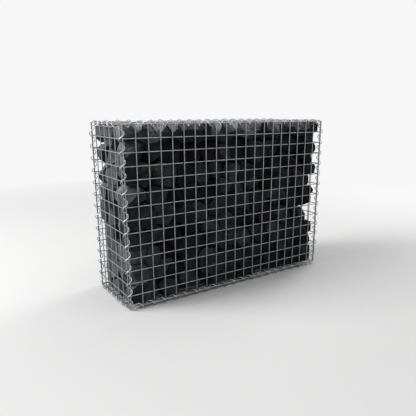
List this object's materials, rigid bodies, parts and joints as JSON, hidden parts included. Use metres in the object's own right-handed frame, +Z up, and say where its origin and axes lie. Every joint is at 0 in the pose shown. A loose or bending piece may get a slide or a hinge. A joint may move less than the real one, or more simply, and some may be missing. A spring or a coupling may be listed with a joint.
{
  "type": "gabion wall basket",
  "caption": "Free-standing gabion: welded-mesh basket with spiral-bound edges, filled with dark broken stone.",
  "frame": {"origin": "middle of the underside, on the ground plane", "axes": "+X along the wall to the right seen from the front, +Y from the front to the back, +Z up"},
  "size_m": [1.0316, 0.3336, 0.7227],
  "materials": {
    "galvanised_mesh": "dull hot-dip galvanised wire",
    "galvanised_binder": "dull hot-dip galvanised wire",
    "dark_stone": "rough broken anthracite basalt"
  },
  "bodies": {
    "root": {"front_mesh": "galvanised_mesh", "back_mesh": "galvanised_mesh", "left_mesh": "galvanised_mesh", "right_mesh": "galvanised_mesh", "base_mesh": "galvanised_mesh", "lid_mesh": "galvanised_mesh", "front_left_binder": "galvanised_binder", "front_right_binder": "galvanised_binder", "back_left_binder": "galvanised_binder", "back_right_binder": "galvanised_binder", "base_front_binder": "galvanised_binder", "base_back_binder": "galvanised_binder", "base_left_binder": "galvanised_binder", "base_right_binder": "galvanised_binder", "lid_front_binder": "galvanised_binder", "lid_back_binder": "galvanised_binder", "lid_left_binder": "galvanised_binder", "lid_right_binder": "galvanised_binder", "stone_course_1": "dark_stone", "stone_course_2": "dark_stone", "stone_course_3": "dark_stone", "stone_course_4": "dark_stone", "stone_course_5": "dark_stone", "stone_course_6": "dark_stone", "stone_course_7": "dark_stone"}
  },
  "joints": []
}
